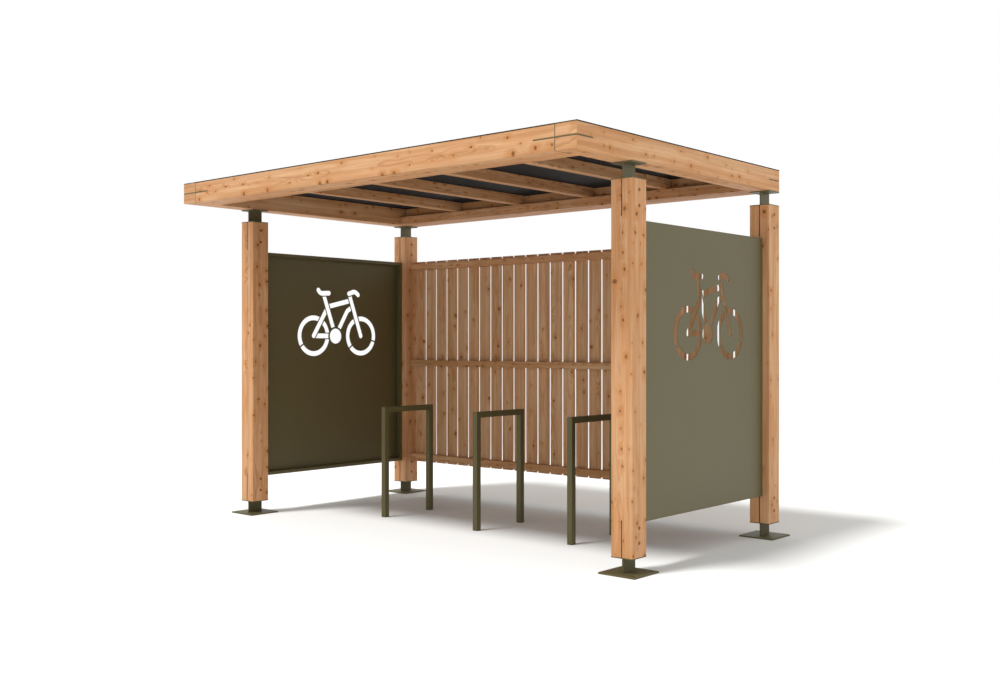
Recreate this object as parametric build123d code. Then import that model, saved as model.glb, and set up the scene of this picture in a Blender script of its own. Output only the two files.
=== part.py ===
from build123d import *
import os

# Open bike shelter: four timber posts on steel shoes carry a flat timber roof frame with a thin roof sheet.
# Two folded steel side panels and a slatted back wall close it on three sides, and bike stands stand inside.
# Lengths are millimetres. X runs along the front, Y from front to back, Z up, with the ground at Z = 0.
# The origin is at the middle of the footprint, on the ground.

# Roof frame
roof_width = 3640.0
roof_depth = 2290.0
beam_size = 145.0
ledger_depth = 70.0
ledger_height = 70.0
rafter_count = 4
rafter_width = 60.0
sheet_thickness = 4.0
sheet_overhang = 2.0

# Corner connectors of the roof frame: a level knife plate welded through an upright plate
connector_length = 300.0
connector_thickness = 8.0
connector_recess = 6.0
connector_upright = 6.0

# Posts and the steel that holds their ends
post_size = 145.0
post_length = 2148.0
front_overhang = 515.0
shoe_height = 100.0
head_height = 99.0
base_plate_size = 250.0
base_plate_thickness = 10.0
anchor_square_side = 190.0
anchor_hole_radius = 7.0
knife_thickness = 8.0
knife_width = 122.0
knife_embedment = 210.0
bearing_thickness = 6.0
head_plate_thickness = 8.0

# Side panels, folded from sheet steel with the open side facing in
panel_base = 282.0
panel_top_gap = 322.0
panel_depth = 50.0
panel_sheet = 3.0
panel_lip = 25.0
panel_bend_radius = 3.0

# Bicycle symbol cut through each side panel, drawn from the rear hub in shares of its wheelbase
symbol_wheelbase = 514.0
symbol_hub_shares = (0.357, 0.628)
wheel_radius_share = 0.324
wheel_stroke_share = 0.077
frame_stroke_share = 0.076
tube_stroke_share = 0.076
bend_radius_share = 0.08
crank_radius_share = 0.1225
crank_bridge_share = 0.03
stencil_bridge = 8.5
wheel_bridge = 12.0
rear_break_angles = (213.0,)
front_break_angles = (219.0, 343.0)
crank_shares = (0.455, -0.004)
front_hub_shares = (1.0, 0.0)
saddle_shares = ((0.096, 0.732), (0.138, 0.679), (0.315, 0.689))
seat_tube_shares = ((0.197, 0.686), crank_shares)
seat_stay_shares = ((0.0, 0.0), (0.285, 0.454))
chain_stay_shares = ((0.0, 0.0), crank_shares)
top_tube_shares = ((0.28, 0.467), (0.788, 0.583))
down_tube_shares = (crank_shares, (0.703, 0.407), (0.824, 0.48))
fork_shares = ((0.745, 0.697), front_hub_shares)
handlebar_shares = ((0.74, 0.693), (0.868, 0.735), (0.94, 0.681))

# Slatted back wall: upright boards behind three rails
wall_base = 272.0
wall_top_gap = 315.0
board_width = 104.4
board_gap = 22.0
board_thickness = 22.0
board_inset = 5.0
rail_height = 53.0
rail_depth = 60.0
rail_margin = 21.0
middle_rail_share = 0.494

# Bike stands: upturned U hoops of square tube
stand_height = 832.0
stand_length = 516.0
stand_tube = 40.0
stand_wall = 3.0
stand_setback = 1079.0
stand_places = ("left", "middle", "right")
stand_place_shares = (-0.238, 0.033, 0.275)

# Eased long edges of the timber, play beside a plate in its slot, and how far a cutter runs past what it cuts
arris = 3.0
board_arris = 2.0
slot_clearance = 0.5
overrun = 5.0

# Levels and places that follow from the sizes above
post_base = shoe_height
post_top = post_base + post_length
beam_base = post_top + head_height
beam_top = beam_base + beam_size
beam_middle = (beam_base + beam_top) / 2
panel_height = beam_base - panel_top_gap - panel_base
wall_height = beam_base - wall_top_gap - wall_base
wheel_radius = wheel_radius_share * symbol_wheelbase
wheel_stroke = wheel_stroke_share * symbol_wheelbase
frame_stroke = frame_stroke_share * symbol_wheelbase
tube_stroke = tube_stroke_share * symbol_wheelbase
bend_radius = bend_radius_share * symbol_wheelbase
crank_radius = crank_radius_share * symbol_wheelbase
crank_bridge = crank_bridge_share * symbol_wheelbase
plate_margin = (base_plate_size - post_size) / 2
roof_front = -(roof_depth + plate_margin - sheet_overhang) / 2
roof_back = roof_front + roof_depth
roof_side = roof_width / 2
inner_side = roof_side - beam_size
post_x = roof_side - post_size / 2
front_post_y = roof_front + front_overhang + post_size / 2
back_post_y = roof_back - post_size / 2
post_inner_x = roof_side - post_size
front_post_back = front_post_y + post_size / 2
back_post_front = back_post_y - post_size / 2
left, right = -1, 1
corners = {
    "front_left": (left, front_post_y),
    "front_right": (right, front_post_y),
    "back_left": (left, back_post_y),
    "back_right": (right, back_post_y),
}


def about(centre, size):
    """The (low, high) span of a size about its centre."""
    return centre - size / 2, centre + size / 2


def block(x, y, z):
    """A box over three (low, high) spans."""
    spans = (x, y, z)
    middle = [(low + high) / 2 for low, high in spans]
    return Pos(*middle) * Box(*[high - low for low, high in spans])


def timber(along, x, y, z, edge=arris):
    """A planed length of timber over three spans, with the four edges along one axis eased."""
    length = block(x, y, z)
    return chamfer(length.edges().filter_by(along), edge)


def span(side, inner, outer):
    """The X span between two distances from the middle, on one side of the shelter."""
    return tuple(sorted((side * inner, side * outer)))


def post(x, y):
    """A post with a knife slot sawn up through its middle at each end."""
    slot_x = about(x, knife_thickness + 2 * slot_clearance)
    slot_y = about(y, post_size + 2 * overrun)
    slot_depth = knife_embedment + slot_clearance
    foot_slot = block(slot_x, slot_y, (post_base - overrun, post_base + slot_depth))
    head_slot = block(slot_x, slot_y, (post_top - slot_depth, post_top + overrun))
    length = timber(Axis.Z, about(x, post_size), about(y, post_size), (post_base, post_top))
    return length - foot_slot - head_slot


def post_shoe(x, y):
    """Base plate, knife plate and bearing plate, welded in one, that lift a post off the ground."""
    plate = block(about(x, base_plate_size), about(y, base_plate_size), (0, base_plate_thickness))
    anchors = GridLocations(anchor_square_side, anchor_square_side, 2, 2)
    for hole in Pos(x, y, base_plate_thickness / 2) * anchors:
        plate -= hole * Cylinder(anchor_hole_radius, base_plate_thickness + 2 * overrun)
    knife = block(about(x, knife_thickness), about(y, knife_width), (0, post_base + knife_embedment))
    bearing = block(about(x, post_size), about(y, post_size), (post_base - bearing_thickness, post_base))
    return plate + knife + bearing


def head_bracket(x, y):
    """Bearing plate, knife plate and head plate, welded in one, between a post and its side beam."""
    bearing = block(about(x, post_size), about(y, post_size), (post_top, post_top + bearing_thickness))
    knife = block(about(x, knife_thickness), about(y, knife_width), (post_top - knife_embedment, beam_base))
    head = block(about(x, post_size), about(y, post_size), (beam_base - head_plate_thickness, beam_base))
    return bearing + knife + head


def beam_end(is_front):
    """The Y span that the front or the back beam takes up."""
    return (roof_front, roof_front + beam_size) if is_front else (roof_back - beam_size, roof_back)


def corner_connector(side, is_front):
    """The level knife plate, set back from the beams' faces, and the upright plate at one corner."""
    low, high = beam_end(is_front)
    level = block(span(side, roof_side - connector_length, roof_side - connector_recess),
                  (low + connector_recess, high - connector_recess), about(beam_middle, connector_thickness))
    upright = block(span(side, inner_side - connector_upright, inner_side), (low, high), (beam_base, beam_top))
    return level + upright


def connector_slot(side, is_front):
    """The saw cut through the beams at one corner that takes the connector's level plate."""
    return block(span(side, roof_side - connector_length - slot_clearance, roof_side), beam_end(is_front),
                 about(beam_middle, connector_thickness + 2 * slot_clearance))


def side_beam(side):
    """A beam over the full depth, slotted at both ends for the connectors' level plates."""
    beam = timber(Axis.Y, span(side, inner_side, roof_side), (roof_front, roof_back), (beam_base, beam_top))
    for is_front in (True, False):
        beam -= connector_slot(side, is_front)
    return beam


def cross_beam(is_front):
    """The front or back beam, between the upright plates of its two connectors."""
    end = inner_side - connector_upright
    beam = timber(Axis.X, (-end, end), beam_end(is_front), (beam_base, beam_top))
    for side in (left, right):
        beam -= connector_slot(side, is_front)
    return beam


def ledger(is_front):
    """The strip on a cross beam's inner face that the rafters rest on."""
    face = roof_front + beam_size if is_front else roof_back - beam_size - ledger_depth
    return timber(Axis.X, (-inner_side, inner_side), (face, face + ledger_depth),
                  (beam_base, beam_base + ledger_height))


def rafter(index):
    """One of the rafters that divide the roof into equal bays."""
    bay = (2 * inner_side - rafter_count * rafter_width) / (rafter_count + 1)
    start = -inner_side + bay + index * (bay + rafter_width)
    return timber(Axis.Y, (start, start + rafter_width), (roof_front + beam_size, roof_back - beam_size),
                  (beam_base + ledger_height, beam_top))


def roof_sheet():
    """The thin sheet that lies on the beams and rafters and just oversails them."""
    return block(about(0, roof_width + 2 * sheet_overhang),
                 (roof_front - sheet_overhang, roof_back + sheet_overhang),
                 (beam_top, beam_top + sheet_thickness))


def stroke(shares, width):
    """A round-ended stroke with rounded bends along points given in shares of the symbol's wheelbase."""
    points = [Vector(*share) * symbol_wheelbase for share in shares]
    line = FilletPolyline(*points, radius=bend_radius) if len(points) > 2 else Line(*points)
    outline = trace(line, width)
    for end in (points[0], points[-1]):
        outline += Pos(end.X, end.Y) * Circle(width / 2)
    return outline


def wheel(hub, break_angles):
    """A wheel's ring, with a thin bridge of sheet left across it at each break."""
    ring = Circle(wheel_radius) - Circle(wheel_radius - wheel_stroke)
    for angle in break_angles:
        ring -= Rot(0, 0, angle) * Pos(wheel_radius / 2, 0) * Rectangle(wheel_radius + overrun, wheel_bridge)
    return Pos(hub.X, hub.Y) * ring


def bicycle_symbol():
    """The cut-outs of a bicycle sign: strokes kept apart by bridges, so that no island drops out."""
    gap = 2 * stencil_bridge
    crank_at = Vector(*crank_shares) * symbol_wheelbase
    front_hub = Vector(*front_hub_shares) * symbol_wheelbase
    crank = Pos(crank_at.X, crank_at.Y) * Circle(crank_radius)
    crank_room = Pos(crank_at.X, crank_at.Y) * Circle(crank_radius + crank_bridge)
    saddle_room = stroke(saddle_shares, frame_stroke + gap)
    handlebar_room = stroke(handlebar_shares, frame_stroke + gap)
    seat_tube_room = stroke(seat_tube_shares, tube_stroke + gap)
    seat_stay_room = stroke(seat_stay_shares, frame_stroke + gap)
    chain_stay_room = stroke(chain_stay_shares, frame_stroke + gap)
    fork_room = stroke(fork_shares, tube_stroke + gap)
    return [
        crank,
        stroke(saddle_shares, frame_stroke),
        stroke(handlebar_shares, frame_stroke),
        stroke(seat_tube_shares, tube_stroke) - saddle_room - crank_room,
        stroke(seat_stay_shares, frame_stroke) - seat_tube_room,
        stroke(chain_stay_shares, frame_stroke) - seat_stay_room - crank_room,
        stroke(top_tube_shares, frame_stroke) - seat_tube_room - fork_room,
        stroke(down_tube_shares, frame_stroke) - crank_room - fork_room - seat_tube_room,
        stroke(fork_shares, tube_stroke) - handlebar_room,
        wheel(Vector(0, 0), rear_break_angles) - seat_stay_room - chain_stay_room - crank_room,
        wheel(front_hub, front_break_angles) - fork_room,
    ]


def side_panel(side):
    """A folded steel tray between two posts, with the bicycle symbol cut through its skin."""
    outer = post_x + panel_depth / 2
    inner = outer - panel_depth
    y = (front_post_back, back_post_front)
    z = (panel_base, panel_base + panel_height)

    def inset(limits, amount):
        return limits[0] + amount, limits[1] - amount

    def bent(x, y, z, radius):
        plain = block(x, y, z)
        return fillet(plain.faces().sort_by(Axis.X)[-1].edges(), radius)

    tray = bent((inner, outer), y, z, panel_bend_radius + panel_sheet)
    tray -= bent((inner + panel_sheet, outer - panel_sheet), inset(y, panel_sheet), inset(z, panel_sheet),
                 panel_bend_radius)
    tray -= block((inner - overrun, inner + panel_sheet + overrun), inset(y, panel_lip), inset(z, panel_lip))
    across_share, up_share = symbol_hub_shares
    hub_y = y[0] + across_share * (y[1] - y[0])
    hub_z = z[0] + up_share * panel_height
    skin = Plane.YZ.offset(outer - panel_sheet - overrun) * Pos(hub_y, hub_z)
    for cut in bicycle_symbol():
        tray -= extrude(skin * cut, panel_sheet + 2 * overrun)
    return tray if side == right else mirror(tray, about=Plane.YZ)


board_face = roof_back - board_inset - board_thickness


def back_rail(middle_height):
    """A rail between the back posts, against the boards' front faces."""
    return timber(Axis.X, (-post_inner_x, post_inner_x), (board_face - rail_depth, board_face),
                  about(middle_height, rail_height))


def back_boards():
    """Upright boards at an even pitch from the left post, with a narrower one closing the row."""
    pitch = board_width + board_gap
    start = -post_inner_x + board_gap / 2
    end = post_inner_x - board_gap / 2
    boards = []
    while start + board_gap < end:
        boards.append(timber(Axis.Z, (start, min(start + board_width, end)),
                             (board_face, board_face + board_thickness),
                             (wall_base, wall_base + wall_height), board_arris))
        start += pitch
    return Compound(children=boards)


def stand_arch(x, inset):
    """The solid upturned U of a stand, drawn in from its outer faces by an inset."""
    front = roof_front + stand_setback
    back = front + stand_length
    leg = stand_tube - inset
    whole = block(about(x, stand_tube - 2 * inset), (front + inset, back - inset), (-inset, stand_height - inset))
    loop = block(about(x, stand_tube), (front + leg, back - leg), (-overrun, stand_height - leg))
    return whole - loop


def bike_stand(x):
    """A hoop of square tube with mitred corners, open at its feet."""
    return stand_arch(x, 0) - stand_arch(x, stand_wall)


parts = {}
for corner, (side, y) in corners.items():
    is_front = corner.startswith("front")
    parts[f"post_{corner}"] = post(side * post_x, y)
    parts[f"post_shoe_{corner}"] = post_shoe(side * post_x, y)
    parts[f"head_bracket_{corner}"] = head_bracket(side * post_x, y)
    parts[f"corner_connector_{corner}"] = corner_connector(side, is_front)

for name, side in (("left", left), ("right", right)):
    parts[f"side_beam_{name}"] = side_beam(side)
    parts[f"side_panel_{name}"] = side_panel(side)

for name, is_front in (("front", True), ("back", False)):
    parts[f"{name}_beam"] = cross_beam(is_front)
    parts[f"{name}_ledger"] = ledger(is_front)

for index in range(rafter_count):
    parts[f"rafter_{index + 1}"] = rafter(index)

parts["roof_sheet"] = roof_sheet()
parts["back_boards"] = back_boards()
parts["back_rail_top"] = back_rail(wall_base + wall_height - rail_margin - rail_height / 2)
parts["back_rail_middle"] = back_rail(wall_base + middle_rail_share * wall_height)
parts["back_rail_bottom"] = back_rail(wall_base + rail_margin + rail_height / 2)

clear_width = 2 * (post_x - panel_depth / 2)
for place, share in zip(stand_places, stand_place_shares):
    parts[f"bike_stand_{place}"] = bike_stand(share * clear_width)

os.makedirs("parts", exist_ok=True)
for name, shape in parts.items():
    export_step(shape, f"parts/{name}.step")
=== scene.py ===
"""Looks of a timber and steel bike shelter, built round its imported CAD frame."""

import math
import random

import bmesh
import bpy
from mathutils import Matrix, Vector


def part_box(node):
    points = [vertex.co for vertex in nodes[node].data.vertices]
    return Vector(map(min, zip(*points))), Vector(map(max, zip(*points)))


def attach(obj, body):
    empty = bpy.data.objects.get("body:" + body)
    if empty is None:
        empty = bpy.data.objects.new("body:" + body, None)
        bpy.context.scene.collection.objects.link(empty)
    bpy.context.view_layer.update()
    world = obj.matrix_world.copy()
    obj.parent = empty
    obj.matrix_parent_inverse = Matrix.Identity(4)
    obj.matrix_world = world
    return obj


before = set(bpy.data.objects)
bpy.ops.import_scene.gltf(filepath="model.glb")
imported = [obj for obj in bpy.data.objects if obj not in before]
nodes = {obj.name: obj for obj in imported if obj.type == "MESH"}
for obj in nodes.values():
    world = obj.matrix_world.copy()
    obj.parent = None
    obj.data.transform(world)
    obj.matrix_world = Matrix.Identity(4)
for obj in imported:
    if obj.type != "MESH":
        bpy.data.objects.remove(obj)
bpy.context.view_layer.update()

# Camera, matched to the photograph's frame: metres and degrees, and millimetres for the sensor
photo_width = 1000
camera_place = (5.3565, -5.8631, 1.3158)
camera_tilt = 90.0
camera_yaw = 40.9525
focal_pixels = 1112.09
horizon_offset_pixels = -6.884
sensor_width = 36.0
view_reach = 200.0

# Light: both lamps shine along the shadow's shift, from the roof's edge to its shadow on the floor
sky_color = (0.962, 0.978, 0.958, 1.0)
sky_strength = 0.86
sun_color = (1.0, 0.975, 0.94)
sun_strength = 1.7
sun_angle = 11.0
floor_sun_color = (0.955, 0.985, 1.0)
floor_sun_strength = 1.45
shadow_shift = Vector((0.42, 1.2, -2.42))

# Floor, and how far from the middle it fades to white
floor_reach = 60.0
floor_color = (0.745, 0.745, 0.745, 1.0)
fade_edges = (4.0, 7.5)
white = (1.0, 1.0, 1.0, 1.0)

# Timber colours, and painted shade on single pieces that lie in shade: tints that darken them, and that make
# the boards paler and cooler
pale_wood = (0.612, 0.345, 0.174, 1.0)
warm_wood = (0.552, 0.258, 0.104, 1.0)
flame_wood = (0.515, 0.216, 0.066, 1.0)
late_wood = (0.425, 0.180, 0.060, 1.0)
pink_wood = (0.578, 0.296, 0.152, 1.0)
band_wood = (0.470, 0.212, 0.080, 1.0)
knot_heart = (0.225, 0.084, 0.022, 1.0)
plain_tint = (1.0, 1.0, 1.0, 1.0)
painted_shade_tints = {
    "back_boards": (0.945, 1.020, 1.110, 1.0),
    "back_rail_top": (0.890, 0.900, 0.910, 1.0),
    "back_rail_middle": (0.800, 0.810, 0.790, 1.0),
    "back_rail_bottom": (0.850, 0.860, 0.850, 1.0),
    "back_beam": (0.860, 0.800, 0.720, 1.0),
    "back_ledger": (0.840, 0.790, 0.760, 1.0),
    "side_beam_left": (0.930, 0.935, 0.950, 1.0),
    "post_back_right": (0.955, 0.955, 0.950, 1.0),
}

# Noise in the wood: waves a metre across, through and along the grain, then detail and roughness
wood_noises = {
    "bend": ((3.0, 3.0, 1.7), 1.0, 0.4),
    "ripple": ((14.0, 14.0, 7.0), 1.0, 0.5),
    "patch": ((11.0, 11.0, 1.9), 2.0, 0.55),
    "band": ((27.0, 27.0, 0.9), 1.0, 0.5),
    "blush": ((33.0, 33.0, 0.7), 1.0, 0.5),
    "streak": ((48.0, 48.0, 0.9), 2.0, 0.6),
    "fibre": ((330.0, 330.0, 7.0), 2.0, 0.6),
}
noise_middle = (0.5, 0.5, 0.5)
wander_reaches = {"bend": 0.062, "ripple": 0.009}
seed_distance = 7.31

# The part of a place that lies across the grain, and how squarely a face must look along it to be an end
across_grain = (1.0, 1.0, 0.0)
end_facing = 0.7

# Pith: where a timber's own lies off its middle, and a board's behind the wall and to either side
pith_reach = 0.035
pith_places = {"side_beam_left": (0.03, -0.125), "side_beam_right": (-0.02, -0.135)}
board_pith_depth = 0.062
board_pith_spread = 0.07

# Seeds and tones that timbers and boards draw
timber_seeds = (1.0, 9.0)
timber_tones = (0.965, 1.035)
board_seed_step = 1.37
board_seed_start = 2.1
board_tone_draw = 40.5
board_tone_spread = 0.16
board_tone_start = 0.90

# Knots: their net round the trunk and the share of its cells that stay clear
knot_cell = 0.080
knot_reach = 0.074
knot_stretch = 0.78
knot_scatter = 0.9
knot_border_edges = (0.0, 0.22)
timber_clear_share = 0.36
board_clear_share = 0.66

# Knots: size, strength, and the edges of the heart and of the halo in knot sizes
knot_smallest = 0.0045
knot_largest = 0.0122
knot_size_skew = 1.8
vigour_size_share = 0.9
vigour_edges = (0.1, 1.5)
vigour_levels = (0.32, 1.0)
heart_edges = (0.7, 1.1)
halo_edges = (0.5, 2.1)
halo_squeeze = (1.0, 0.5, 1.0)
core_edges = (0.0, 0.9)
core_levels = (0.62, 1.08)
core_ring_pace = 15.0
core_ring_light = 0.10

# Growth rings, and how knots of a given size turn them aside and strengthen them
ring_width = 0.0068
ring_seed_step = 31.7
ring_chance_edges = (0.25, 1.0)
ring_levels = (0.1, 1.0)
late_rise_edges = (0.25, 0.86)
late_fall_edges = (0.90, 1.0)
swirl_edges = (0.0, 0.038)
swirl_knot_size = 0.0110
swirl_ring_shift = 2.2
swirl_ring_strength = 0.5

# How much the figure takes of each colour, and how it lightens, rises and roughens
patch_edges = (0.36, 0.66)
band_edges = (0.50, 0.70)
blush_edges = (0.46, 0.64)
patch_share = 0.8
blush_share = 0.4
band_share = 0.6
swirl_share = 0.75
late_share = 0.7
halo_share = 0.6
heart_share = 0.92
streak_lift = 0.8
fibre_lift = 0.24
lift_start = -1.5
red_lift_share = 0.7
blue_lift_share = 1.35
late_height = 0.5
fibre_height = 0.6
heart_height = -0.5
fibre_roughness = 0.16
timber_roughness = 0.52
timber_gloss = 0.3
timber_relief = {"Strength": 0.35, "Distance": 0.0007}

# Coated steel: each noise as waves a metre, detail and roughness, and its effects as gain and start
olive = (0.083, 0.0665, 0.0207, 1.0)
sheen = (1.0, 0.97, 0.79, 1.0)
cloud_noise = (2.3, 3.0, 0.55)
speckle_noise = (900.0, 1.0, 0.5)
peel_noise = (420.0, 1.0, 0.5)
cloud_light = (0.14, 0.93)
speckle_light = (0.16, 0.92)
peel_roughness = 0.12
coat_relief = {"Strength": 0.18, "Distance": 0.0003}
coat_gloss = 0.95
coat_roughness = 0.46
# A less glossy, rougher copy of the coat for the posts' shoes and the bike stands: painted shade, as it
# renders them darker than the coat above
shade_coat_gloss = 0.62
shade_coat_roughness = 0.52

# Zinc-plated screws
zinc = (0.50, 0.50, 0.49, 1.0)
wear_noise = (240.0, 3.0, 0.6)
wear_light = (0.5, 0.75)
wear_roughness = (0.3, 0.3)
zinc_metallic = 0.85

# Roof sheet
roof_dark = (0.013, 0.018, 0.022, 1.0)
dust_noise = (1.6, 4.0, 0.6)
grit_noise = (700.0, 2.0, 0.6)
dust_light = (0.5, 0.75)
grit_light = (0.4, 0.8)
dust_roughness = (0.2, 0.6)
roof_gloss = 0.2
roof_relief = {"Strength": 0.3, "Distance": 0.0005}

# Wooden plugs over the dowels through the knife plates: colour, pores, and places from the post's ends
plug_wood = (0.220, 0.088, 0.027, 1.0)
pore_noise = (520.0, 3.0, 0.6)
pore_light = (0.7, 0.65)
pore_roughness = (0.2, 0.6)
plug_gloss = 0.3
head_plug_drops = (0.061, 0.152)
shoe_plug_rises = (0.081, 0.167)

# Back wall boards and the screws through them
board_width = 0.1044
board_gap = 0.022
board_pitch = board_width + board_gap
board_screw_margin = 0.022
narrow_board_margin_share = 0.25

# Roof screws
roof_screw_spacing = 0.42

# Outlines of the heads, as radius and height of each ring, with the ring from which screws are six-sided
plug_profile = [(0.0105, 0.0), (0.0105, 0.0005), (0.0100, 0.0011), (0.0083, 0.0016),
                (0.0053, 0.0019), (0.0020, 0.0020)]
screw_profile = [(0.0044, 0.0), (0.0043, 0.0004), (0.0034, 0.0008), (0.0021, 0.0009),
                 (0.0018, 0.0009), (0.0016, 0.0002)]
washer_profile = [(0.0110, 0.0), (0.0112, 0.0010), (0.0096, 0.0020), (0.0058, 0.0023),
                  (0.0050, 0.0025), (0.0050, 0.0062), (0.0043, 0.0070)]
hexagon_start = 4
head_sides = 24

# Outline of a slot's seal, as depth from the beam's face and height about the slot's middle
seal_profile = [(0.0058, -0.0040), (0.0012, -0.0040), (0.0005, -0.0033), (0.0003, 0.0),
                (0.0005, 0.0033), (0.0012, 0.0040), (0.0058, 0.0040)]

# Edges of added pieces that turn by more than this many degrees stay sharp
sharp_angle = 40.0

# Nodes of the frame by finish
corners = ["front_left", "front_right", "back_left", "back_right"]
rafters = ["rafter_1", "rafter_2", "rafter_3", "rafter_4"]
rail_levels = ["top", "middle", "bottom"]
timber_nodes = [f"post_{corner}" for corner in corners]
timber_nodes += ["side_beam_left", "side_beam_right", "front_beam", "back_beam"]
timber_nodes += ["front_ledger", "back_ledger"]
timber_nodes += rafters
timber_nodes += [f"back_rail_{level}" for level in rail_levels]
steel_nodes = [f"{kind}_{corner}" for kind in ("head_bracket", "corner_connector") for corner in corners]
steel_nodes += ["side_panel_left", "side_panel_right"]
ground_nodes = [f"post_shoe_{corner}" for corner in corners]
ground_nodes += ["bike_stand_left", "bike_stand_middle", "bike_stand_right"]

# A smooth step that falls from full to nothing
falling = (1.0, 0.0)

# Numbers of the Mix node's sockets for each kind of data: two inputs and the result
mix_sockets = {"RGBA": (6, 7, 2), "VECTOR": (4, 5, 1)}


class Graph:
    """Writes a shader tree: most calls add a node and give back one of its outputs."""

    def __init__(self, tree):
        self.tree = tree

    def node(self, kind, settings=None, inputs=None):
        made = self.tree.nodes.new(kind)
        for name, value in (settings or {}).items():
            setattr(made, name, value)
        for name, value in (inputs or {}).items():
            self.feed(made.inputs[name], value)
        return made

    def feed(self, socket, value):
        if isinstance(value, bpy.types.NodeSocket):
            self.tree.links.new(value, socket)
        else:
            socket.default_value = value

    def point(self):
        """The point that is shaded, in the part's own frame."""
        return self.node("ShaderNodeTexCoord").outputs["Object"]

    def math(self, operation, first, second=0.0, third=0.0):
        made = self.node("ShaderNodeMath", {"operation": operation})
        for socket, value in zip(made.inputs, (first, second, third)):
            self.feed(socket, value)
        return made.outputs[0]

    def times(self, first, second):
        return self.math("MULTIPLY", first, second)

    def linear(self, value, gain, start):
        return self.math("MULTIPLY_ADD", value, gain, start)

    def vector(self, operation, first, second=(0.0, 0.0, 0.0), output="Vector"):
        made = self.node("ShaderNodeVectorMath", {"operation": operation})
        self.feed(made.inputs[0], first)
        self.feed(made.inputs[1], second)
        return made.outputs[output]

    def length(self, vector):
        return self.vector("LENGTH", vector, output="Value")

    def scaled(self, vector, amount):
        made = self.node("ShaderNodeVectorMath", {"operation": "SCALE"})
        self.feed(made.inputs[0], vector)
        self.feed(made.inputs["Scale"], amount)
        return made.outputs["Vector"]

    def combine(self, x=0.0, y=0.0, z=0.0):
        return self.node("ShaderNodeCombineXYZ", None, {"X": x, "Y": y, "Z": z}).outputs[0]

    def separate(self, vector):
        return self.node("ShaderNodeSeparateXYZ", None, {"Vector": vector}).outputs

    def noise(self, vector, detail, roughness, output="Fac"):
        made = self.node("ShaderNodeTexNoise", None,
                         {"Vector": vector, "Scale": 1.0, "Detail": detail, "Roughness": roughness})
        return made.outputs[output]

    def even_noise(self, point, waves, detail, roughness):
        """Noise with as many waves a metre in every direction."""
        return self.noise(self.scaled(point, waves), detail, roughness)

    def wood_noise(self, name, place, output="Fac"):
        """One of the wood's noises, drawn out along the grain."""
        waves, detail, roughness = wood_noises[name]
        return self.noise(self.vector("MULTIPLY", place, waves), detail, roughness, output)

    def random(self, value):
        made = self.node("ShaderNodeTexWhiteNoise", {"noise_dimensions": "1D"}, {"W": value})
        return made.outputs["Value"]

    def smooth(self, value, edges, levels=(0.0, 1.0)):
        """A smooth step between two edges, from one level to the other."""
        made = self.node("ShaderNodeMapRange", {"interpolation_type": "SMOOTHSTEP"},
                         {"Value": value, "From Min": edges[0], "From Max": edges[1],
                          "To Min": levels[0], "To Max": levels[1]})
        return made.outputs["Result"]

    def mix(self, share, first, second, blend="MIX", kind="RGBA"):
        first_socket, second_socket, result = mix_sockets[kind]
        made = self.node("ShaderNodeMix", {"data_type": kind, "blend_type": blend})
        self.feed(made.inputs[0], share)
        self.feed(made.inputs[first_socket], first)
        self.feed(made.inputs[second_socket], second)
        return made.outputs[result]

    def brightened(self, color, amount):
        gray = self.combine(amount, amount, amount)
        return self.mix(1.0, color, gray, "MULTIPLY")

    def toned(self, color, lift):
        """Lighter wood is paler too: blue follows the lift the most and red the least."""
        red = self.linear(lift, red_lift_share, 1.0)
        green = self.math("ADD", lift, 1.0)
        blue = self.linear(lift, blue_lift_share, 1.0)
        return self.mix(1.0, color, self.combine(red, green, blue), "MULTIPLY")

    def relief(self, height, strengths):
        """A fine bump, as the normal that a shader takes."""
        return self.node("ShaderNodeBump", None, {"Height": height, **strengths}).outputs["Normal"]

    def mixed_shaders(self, share, first, second):
        made = self.node("ShaderNodeMixShader", None, {"Fac": share})
        self.feed(made.inputs[1], first.outputs[0])
        self.feed(made.inputs[2], second.outputs[0])
        return made

    def seen_directly(self):
        """1 for what the camera sees, straight or in a reflection, and 0 for light on the object."""
        path = self.node("ShaderNodeLightPath").outputs
        shown = self.math("MAXIMUM", path["Is Camera Ray"], path["Is Glossy Ray"])
        return self.math("MAXIMUM", shown, path["Is Transmission Ray"])

    def surface(self, shader):
        self.node("ShaderNodeOutputMaterial", None, {"Surface": shader.outputs[0]})

    def principled(self, inputs):
        """Ends a material with one principled shader."""
        self.surface(self.node("ShaderNodeBsdfPrincipled", None, inputs))


def empty_material(name):
    """A material with no nodes yet, and the graph that writes to it."""
    material = bpy.data.materials.new(name)
    material.use_nodes = True
    material.node_tree.nodes.clear()
    return material, Graph(material.node_tree)


def dress(piece, material):
    """Puts one material on a piece."""
    if not piece.material_slots:
        piece.data.materials.append(material)
    for place in piece.material_slots:
        place.material = material


# Timber

def wandered(graph, local, place):
    """Moves points aside as the trunk wanders, so that flat-sawn faces show arches and islands."""
    moved = local
    for name, reach in wander_reaches.items():
        aside = graph.vector("SUBTRACT", graph.wood_noise(name, place, "Color"), noise_middle)
        moved = graph.vector("ADD", moved, graph.scaled(aside, reach))
    return moved


def knot_net(graph, spot, feature):
    """The net round the trunk, unrolled, with one place for a knot in each cell."""
    return graph.node("ShaderNodeTexVoronoi", {"voronoi_dimensions": "2D", "feature": feature},
                      {"Vector": spot, "Scale": 1.0 / knot_cell, "Randomness": knot_scatter}).outputs


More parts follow.
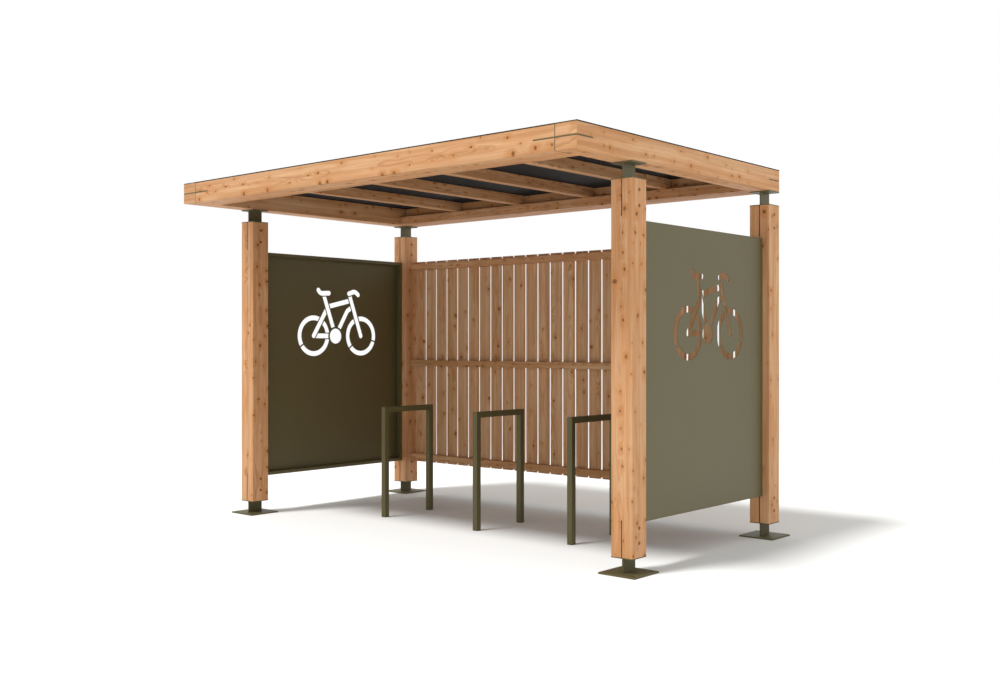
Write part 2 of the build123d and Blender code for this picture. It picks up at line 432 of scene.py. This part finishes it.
def knots(graph, given, place, moved):
    """Branches that run outwards from the heart: how near one is in knot sizes, its heart, halo and swirl."""
    along = graph.separate(place)["Z"]
    side = graph.separate(graph.vector("SUBTRACT", moved, given["Heart"]))
    turn = graph.math("ARCTAN2", side["Y"], side["X"])
    spot = graph.combine(graph.times(turn, knot_reach), graph.times(along, knot_stretch))
    cells = knot_net(graph, spot, "F1")
    chance = graph.separate(cells["Color"])
    size = graph.math("POWER", chance["X"], knot_size_skew)
    size = graph.linear(size, knot_largest - knot_smallest, knot_smallest)

    # A cell grows a knot or stays clear. Small knots are mostly weaker, and all fade at the cell's border
    grown = graph.math("GREATER_THAN", chance["Y"], given["Clear"])
    vigour = graph.linear(chance["X"], vigour_size_share, chance["Z"])
    grown = graph.times(grown, graph.smooth(vigour, vigour_edges, vigour_levels))
    border = knot_net(graph, spot, "DISTANCE_TO_EDGE")["Distance"]
    grown = graph.times(grown, graph.smooth(border, knot_border_edges))

    # The halo and the swirl are drawn out along the grain
    apart = graph.vector("SUBTRACT", spot, cells["Position"])
    near = graph.math("DIVIDE", graph.length(apart), size)
    drawn = graph.length(graph.vector("MULTIPLY", apart, halo_squeeze))
    heart = graph.times(graph.smooth(near, heart_edges, falling), grown)
    halo = graph.times(graph.smooth(graph.math("DIVIDE", drawn, size), halo_edges, falling), grown)
    swirl = graph.times(graph.smooth(drawn, swirl_edges, falling), grown)
    swirl = graph.times(swirl, graph.math("DIVIDE", size, swirl_knot_size))
    return near, heart, halo, swirl


def late_rings(graph, given, moved, swirl):
    """The dark part of each growth ring, with a strength of its own, bent round the knots."""
    across = graph.vector("MULTIPLY", graph.vector("SUBTRACT", moved, given["Pith"]), across_grain)
    phase = graph.math("DIVIDE", graph.length(across), ring_width)
    phase = graph.linear(swirl, swirl_ring_shift, phase)
    ring = graph.math("FLOOR", phase)
    share = graph.math("FRACT", phase)
    strength = graph.random(graph.linear(given["Seed"], ring_seed_step, ring))
    strength = graph.smooth(strength, ring_chance_edges, ring_levels)
    strength = graph.linear(swirl, swirl_ring_strength, strength)
    rise = graph.smooth(share, late_rise_edges)
    fall = graph.smooth(share, late_fall_edges, falling)
    return graph.times(graph.times(rise, fall), strength)


def knot_core(graph, near):
    """The colour inside a knot: dark in the middle, with close rings."""
    light = graph.smooth(near, core_edges, core_levels)
    rings = graph.math("SINE", graph.times(near, core_ring_pace))
    return graph.brightened(knot_heart, graph.linear(rings, core_ring_light, light))


def timber_group():
    """Softwood figure from a point in the piece: along the grain is Z, and the pith is a line along it."""
    group = bpy.data.node_groups.new("timber_figure", "ShaderNodeTree")
    for name, kind in (("Local", "NodeSocketVector"), ("Pith", "NodeSocketVector"),
                       ("Heart", "NodeSocketVector"), ("Clear", "NodeSocketFloat"),
                       ("Seed", "NodeSocketFloat"), ("Tone", "NodeSocketFloat"),
                       ("Tint", "NodeSocketColor")):
        group.interface.new_socket(name, in_out="INPUT", socket_type=kind)
    for name, kind in (("Color", "NodeSocketColor"), ("Height", "NodeSocketFloat"),
                       ("Roughness", "NodeSocketFloat")):
        group.interface.new_socket(name, in_out="OUTPUT", socket_type=kind)
    graph = Graph(group)
    given = graph.node("NodeGroupInput").outputs
    shift = graph.combine(z=graph.times(given["Seed"], seed_distance))
    place = graph.vector("ADD", given["Local"], shift)
    moved = wandered(graph, given["Local"], place)
    moved_place = graph.vector("ADD", moved, shift)
    near, heart, halo, swirl = knots(graph, given, place, moved)
    late = late_rings(graph, given, moved, swirl)

    # Warm patches, a pink blush, brown bands, flames round the knots and the rings
    patch = graph.smooth(graph.wood_noise("patch", place), patch_edges)
    band = graph.smooth(graph.wood_noise("band", moved_place), band_edges)
    blush = graph.smooth(graph.wood_noise("blush", moved_place), blush_edges)
    color = graph.mix(graph.times(patch, patch_share), pale_wood, warm_wood)
    color = graph.mix(graph.times(blush, blush_share), color, pink_wood)
    color = graph.mix(graph.times(band, band_share), color, band_wood)
    color = graph.mix(graph.times(swirl, swirl_share), color, flame_wood)
    color = graph.mix(graph.times(late, late_share), color, late_wood)

    # Streaks and fibres lighten and darken it, and the knots lie over them
    fibre = graph.wood_noise("fibre", place)
    lift = graph.linear(graph.wood_noise("streak", place), streak_lift, lift_start)
    lift = graph.linear(fibre, fibre_lift, lift)
    lift = graph.math("ADD", lift, given["Tone"])
    color = graph.toned(color, lift)
    color = graph.mix(graph.times(halo, halo_share), color, flame_wood)
    color = graph.mix(graph.times(heart, heart_share), color, knot_core(graph, near))
    # The tint is painted shade on the pieces that lie in shade
    color = graph.mix(1.0, color, given["Tint"], "MULTIPLY")

    height = graph.linear(late, late_height, graph.times(fibre, fibre_height))
    height = graph.linear(heart, heart_height, height)
    rough = graph.linear(fibre, fibre_roughness, timber_roughness)
    graph.node("NodeGroupOutput", None, {"Color": color, "Height": height, "Roughness": rough})
    return group


def finish_timber(graph, group, figure_inputs):
    """Ends a timber material: the figure, a fine relief and a dry surface."""
    made = graph.node("ShaderNodeGroup", {"node_tree": group}, figure_inputs).outputs
    graph.principled({"Base Color": made["Color"],
                      "Roughness": made["Roughness"],
                      "Specular IOR Level": timber_gloss,
                      "Normal": graph.relief(made["Height"], timber_relief)})


def timber_material(node, group):
    """One squared timber: grain along its longest side, end grain on its ends and a pith of its own."""
    low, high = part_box(node)
    centre = (low + high) / 2
    size = high - low
    grain = max(range(3), key=lambda axis: size[axis])
    others = [axis for axis in range(3) if axis != grain]
    chance = random.Random(node)
    material, graph = empty_material("timber_" + node)
    point = graph.separate(graph.vector("SUBTRACT", graph.point(), tuple(centre)))
    local = graph.combine(point[others[0]], point[others[1]], point[grain])
    turned = graph.combine(point[others[1]], point[grain], point[others[0]])
    facing = graph.node("ShaderNodeTexCoord").outputs["Normal"]
    is_end = graph.math("GREATER_THAN", graph.math("ABSOLUTE", graph.separate(facing)[grain]), end_facing)
    local = graph.mix(is_end, local, turned, kind="VECTOR")
    pith = (chance.uniform(-pith_reach, pith_reach), chance.uniform(-pith_reach, pith_reach))
    pith = pith_places.get(node, pith)
    finish_timber(graph, group, {
        "Local": local, "Pith": (*pith, 0.0), "Heart": (0.0, 0.0, 0.0), "Clear": timber_clear_share,
        "Seed": chance.uniform(*timber_seeds), "Tone": chance.uniform(*timber_tones),
        "Tint": painted_shade_tints.get(node, plain_tint)})
    return material


def board_material(group):
    """The back wall: one material in which every upright board has its own figure and tone."""
    low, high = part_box("back_boards")
    material, graph = empty_material("timber_boards")
    point = graph.separate(graph.point())
    run = graph.math("DIVIDE", graph.math("SUBTRACT", point["X"], low.x - board_gap / 2), board_pitch)
    index = graph.math("FLOOR", run)
    across = graph.times(graph.math("SUBTRACT", graph.math("FRACT", run), 0.5), board_pitch)
    through = graph.math("SUBTRACT", point["Y"], (low.y + high.y) / 2)
    side = graph.linear(graph.random(index), board_pith_spread, -board_pith_spread / 2)
    pith = graph.combine(side, board_pith_depth, 0.0)
    tone = graph.random(graph.math("ADD", index, board_tone_draw))
    # The boards' tint is painted shade: it makes them paler and cooler
    finish_timber(graph, group, {
        "Local": graph.combine(across, through, point["Z"]), "Pith": pith, "Heart": pith,
        "Clear": board_clear_share, "Seed": graph.linear(index, board_seed_step, board_seed_start),
        "Tone": graph.linear(tone, board_tone_spread, board_tone_start),
        "Tint": painted_shade_tints["back_boards"]})
    return material


# Steel and roof

def coated_material(name, gloss, roughness):
    """Powder-coated steel: one colour with a faint cloud, speckle and orange-peel relief."""
    material, graph = empty_material(name)
    point = graph.point()
    cloud = graph.even_noise(point, *cloud_noise)
    speckle = graph.even_noise(point, *speckle_noise)
    peel = graph.even_noise(point, *peel_noise)
    light = graph.times(graph.linear(cloud, *cloud_light), graph.linear(speckle, *speckle_light))
    graph.principled({"Base Color": graph.brightened(olive, light),
                      "Roughness": graph.linear(peel, peel_roughness, roughness),
                      "Specular IOR Level": gloss,
                      "Specular Tint": sheen,
                      "Normal": graph.relief(peel, coat_relief)})
    return material


def screw_material():
    """Zinc-plated fasteners: metal with a little unevenness from handling."""
    material, graph = empty_material("bright_screw")
    worn = graph.even_noise(graph.point(), *wear_noise)
    graph.principled({"Base Color": graph.brightened(zinc, graph.linear(worn, *wear_light)),
                      "Roughness": graph.linear(worn, *wear_roughness),
                      "Metallic": zinc_metallic})
    return material


def roof_material():
    """A dark weatherproof sheet: matt, finely grained, with faint cloudy dust."""
    material, graph = empty_material("roof_dark_sheet")
    point = graph.point()
    dust = graph.even_noise(point, *dust_noise)
    grit = graph.even_noise(point, *grit_noise)
    light = graph.times(graph.linear(dust, *dust_light), graph.linear(grit, *grit_light))
    graph.principled({"Base Color": graph.brightened(roof_dark, light),
                      "Roughness": graph.linear(dust, *dust_roughness),
                      "Specular IOR Level": roof_gloss,
                      "Normal": graph.relief(grit, roof_relief)})
    return material


def plug_material():
    """End grain of the plugs: a browner wood with fine pores."""
    material, graph = empty_material("plug_wood")
    pores = graph.even_noise(graph.point(), *pore_noise)
    graph.principled({"Base Color": graph.brightened(plug_wood, graph.linear(pores, *pore_light)),
                      "Roughness": graph.linear(pores, *pore_roughness),
                      "Specular IOR Level": plug_gloss})
    return material


# Plugs and screws

def added_piece(name, build, material):
    """Turns a finished mesh into a piece that rides on the shelter."""
    mesh = bpy.data.meshes.new(name)
    build.to_mesh(mesh)
    build.free()
    mesh.shade_smooth()
    mesh.set_sharp_from_angle(angle=math.radians(sharp_angle))
    piece = bpy.data.objects.new(name, mesh)
    bpy.context.scene.collection.objects.link(piece)
    dress(piece, material)
    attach(piece, "root")


def turned_head(build, place, outward, profile, hexagon):
    """Adds one fastener head: the profile's rings about its axis, six-sided from one ring on."""
    turn = Vector((0.0, 0.0, 1.0)).rotation_difference(outward).to_matrix()
    sixth = math.tau / 6
    rings = []
    for level, (radius, height) in enumerate(profile):
        ring = []
        for step in range(head_sides):
            angle = math.tau * step / head_sides
            reach = radius
            if level >= hexagon:
                reach = radius / math.cos(angle % sixth - sixth / 2)
            point = Vector((reach * math.cos(angle), reach * math.sin(angle), height))
            ring.append(build.verts.new(place + turn @ point))
        rings.append(ring)
    for lower, upper in zip(rings, rings[1:]):
        for step in range(head_sides):
            following = (step + 1) % head_sides
            build.faces.new((lower[step], lower[following], upper[following], upper[step]))
    build.faces.new(rings[-1])
    build.faces.new(list(reversed(rings[0])))


def fasteners(name, places, profile, hexagon, material):
    """One piece of many like heads, each given as its place and the way that it faces."""
    build = bmesh.new()
    for place, outward in places:
        turned_head(build, Vector(place), Vector(outward), profile, hexagon)
    added_piece(name, build, material)


def post_plug_places(corner):
    """Plugs over the dowels through the knife plates: two near each end, on both side faces of a post."""
    low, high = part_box("post_" + corner)
    middle = (low.y + high.y) / 2
    levels = [high.z - drop for drop in head_plug_drops]
    levels += [low.z + rise for rise in shoe_plug_rises]
    places = []
    for level in levels:
        places.append(((low.x, middle, level), (-1.0, 0.0, 0.0)))
        places.append(((high.x, middle, level), (1.0, 0.0, 0.0)))
    return places


def board_screw_places():
    """Two screws through each board into each rail, on the wall's outer face."""
    low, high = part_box("back_boards")
    places = []
    for rail in rail_levels:
        rail_low, rail_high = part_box("back_rail_" + rail)
        level = (rail_low.z + rail_high.z) / 2
        start = low.x
        while start < high.x:
            end = min(start + board_width, high.x)
            margin = min(board_screw_margin, (end - start) * narrow_board_margin_share)
            for along in (start + margin, end - margin):
                places.append(((along, high.y, level), (0.0, 1.0, 0.0)))
            start += board_pitch
    return places


def roof_screw_places():
    """Rows of washer screws over the side beams and the rafters."""
    roof_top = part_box("roof_sheet")[1].z
    places = []
    for carrier in ("side_beam_left", *rafters, "side_beam_right"):
        low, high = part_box(carrier)
        middle = (low.x + high.x) / 2
        margin = (high.x - low.x) / 2
        reach = high.y - low.y - 2 * margin
        count = math.ceil(reach / roof_screw_spacing)
        for step in range(count + 1):
            along = low.y + margin + reach * step / count
            places.append(((middle, along, roof_top), (0.0, 0.0, 1.0)))
    return places


# Seals in the beams' slots

def seal_run(build, path):
    """Adds one strip: the profile carried along points, each given with its way inwards from the face."""
    sections = []
    for point, inward in path:
        section = []
        for depth, height in seal_profile:
            section.append(build.verts.new(point + inward * depth + Vector((0.0, 0.0, height))))
        sections.append(section)
    count = len(seal_profile)
    for first, second in zip(sections, sections[1:]):
        for step in range(count):
            following = (step + 1) % count
            build.faces.new((first[step], first[following], second[following], second[step]))
    build.faces.new(list(reversed(sections[0])))
    build.faces.new(sections[-1])


def slot_seal(corner, material):
    """The strips that close one corner's slot, over the connector's edge, on the faces of both beams."""
    end, side = corner.split("_")
    out = -1.0 if side == "left" else 1.0
    back = -1.0 if end == "front" else 1.0
    plate_low, plate_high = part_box("corner_connector_" + corner)
    beam_low, beam_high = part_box("side_beam_" + side)
    cross_low, cross_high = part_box(end + "_beam")
    level = (plate_low.z + plate_high.z) / 2
    face, blind = (plate_low.y, plate_high.y) if end == "front" else (plate_high.y, plate_low.y)
    outer, inner = (beam_low.x, beam_high.x) if side == "left" else (beam_high.x, beam_low.x)
    start, joint = (plate_high.x, cross_low.x) if side == "left" else (plate_low.x, cross_high.x)
    through = Vector((0.0, -back, 0.0))
    across = Vector((-out, 0.0, 0.0))
    build = bmesh.new()
    seal_run(build, [(Vector((start, face, level)), through),
                     (Vector((joint, face, level)), through)])
    seal_run(build, [(Vector((inner, face, level)), through),
                     (Vector((outer, face, level)), through + across),
                     (Vector((outer, blind, level)), across)])
    bmesh.ops.recalc_face_normals(build, faces=build.faces)
    added_piece("slot_seal_" + corner, build, material)


# Stage, light and camera

def floor_stage():
    """A pale floor that takes the shadow and fades to plain white away from the object."""
    half = floor_reach / 2
    mesh = bpy.data.meshes.new("floor")
    mesh.from_pydata([(-half, -half, 0.0), (half, -half, 0.0), (half, half, 0.0), (-half, half, 0.0)],
                     [], [(0, 1, 2, 3)])
    floor = bpy.data.objects.new("floor", mesh)
    bpy.context.scene.collection.objects.link(floor)
    material, graph = empty_material("pale_floor")
    away = graph.smooth(graph.length(graph.point()), fade_edges)
    fade = graph.times(away, graph.seen_directly())
    matt = graph.node("ShaderNodeBsdfDiffuse", None, {"Color": floor_color})
    plain = graph.node("ShaderNodeEmission", None, {"Color": white, "Strength": 1.0})
    graph.surface(graph.mixed_shaders(fade, matt, plain))
    dress(floor, material)
    return floor


def sky():
    """Even light from all round, and plain white behind the object."""
    world = bpy.data.worlds.new("soft_sky")
    world.use_nodes = True
    world.node_tree.nodes.clear()
    graph = Graph(world.node_tree)
    light = graph.node("ShaderNodeBackground", None, {"Color": sky_color, "Strength": sky_strength})
    plain = graph.node("ShaderNodeBackground", None, {"Color": white, "Strength": 1.0})
    shown = graph.mixed_shaders(graph.seen_directly(), light, plain)
    graph.node("ShaderNodeOutputWorld", None, {"Surface": shown.outputs[0]})
    bpy.context.scene.world = world


def sun(name, color, strength):
    """A broad soft lamp from the front, high and a little to the left."""
    lamp = bpy.data.lights.new(name, "SUN")
    lamp.energy = strength
    lamp.color = color
    lamp.angle = math.radians(sun_angle)
    key = bpy.data.objects.new(name, lamp)
    key.rotation_mode = "QUATERNION"
    key.rotation_quaternion = shadow_shift.to_track_quat("-Z", "Y")
    bpy.context.scene.collection.objects.link(key)
    return key


def light_only(lamp, piece):
    """Keeps a lamp's light off everything but one piece."""
    lit = bpy.data.collections.new(lamp.name + "_receivers")
    lit.objects.link(piece)
    lamp.light_linking.receiver_collection = lit


def camera():
    """A level camera at the photograph's place, with its horizon just above the middle."""
    lens = bpy.data.cameras.new("camera")
    lens.sensor_width = sensor_width
    lens.lens = sensor_width * focal_pixels / photo_width
    lens.shift_y = horizon_offset_pixels / photo_width
    lens.clip_end = view_reach
    viewer = bpy.data.objects.new("camera", lens)
    viewer.location = camera_place
    viewer.rotation_euler = (math.radians(camera_tilt), 0.0, math.radians(camera_yaw))
    bpy.context.scene.collection.objects.link(viewer)
    bpy.context.scene.camera = viewer


figure = timber_group()
for name in timber_nodes:
    dress(nodes[name], timber_material(name, figure))
dress(nodes["back_boards"], board_material(figure))

coated = coated_material("olive_coat", coat_gloss, coat_roughness)
for name in steel_nodes:
    dress(nodes[name], coated)
# The pieces near the ground take the duller copy of the coat: painted shade
shade_coated = coated_material("shaded_olive_coat", shade_coat_gloss, shade_coat_roughness)
for name in ground_nodes:
    dress(nodes[name], shade_coated)
dress(nodes["roof_sheet"], roof_material())

plug = plug_material()
bright_screw = screw_material()
for corner in corners:
    fasteners("post_plugs_" + corner, post_plug_places(corner),
              plug_profile, len(plug_profile), plug)
    slot_seal(corner, coated)
fasteners("board_screws", board_screw_places(), screw_profile, hexagon_start, bright_screw)
fasteners("roof_screws", roof_screw_places(), washer_profile, hexagon_start, bright_screw)

floor = floor_stage()
sky()
sun("key", sun_color, sun_strength)
light_only(sun("floor_key", floor_sun_color, floor_sun_strength), floor)
camera()
bpy.context.scene.view_settings.view_transform = "Standard"
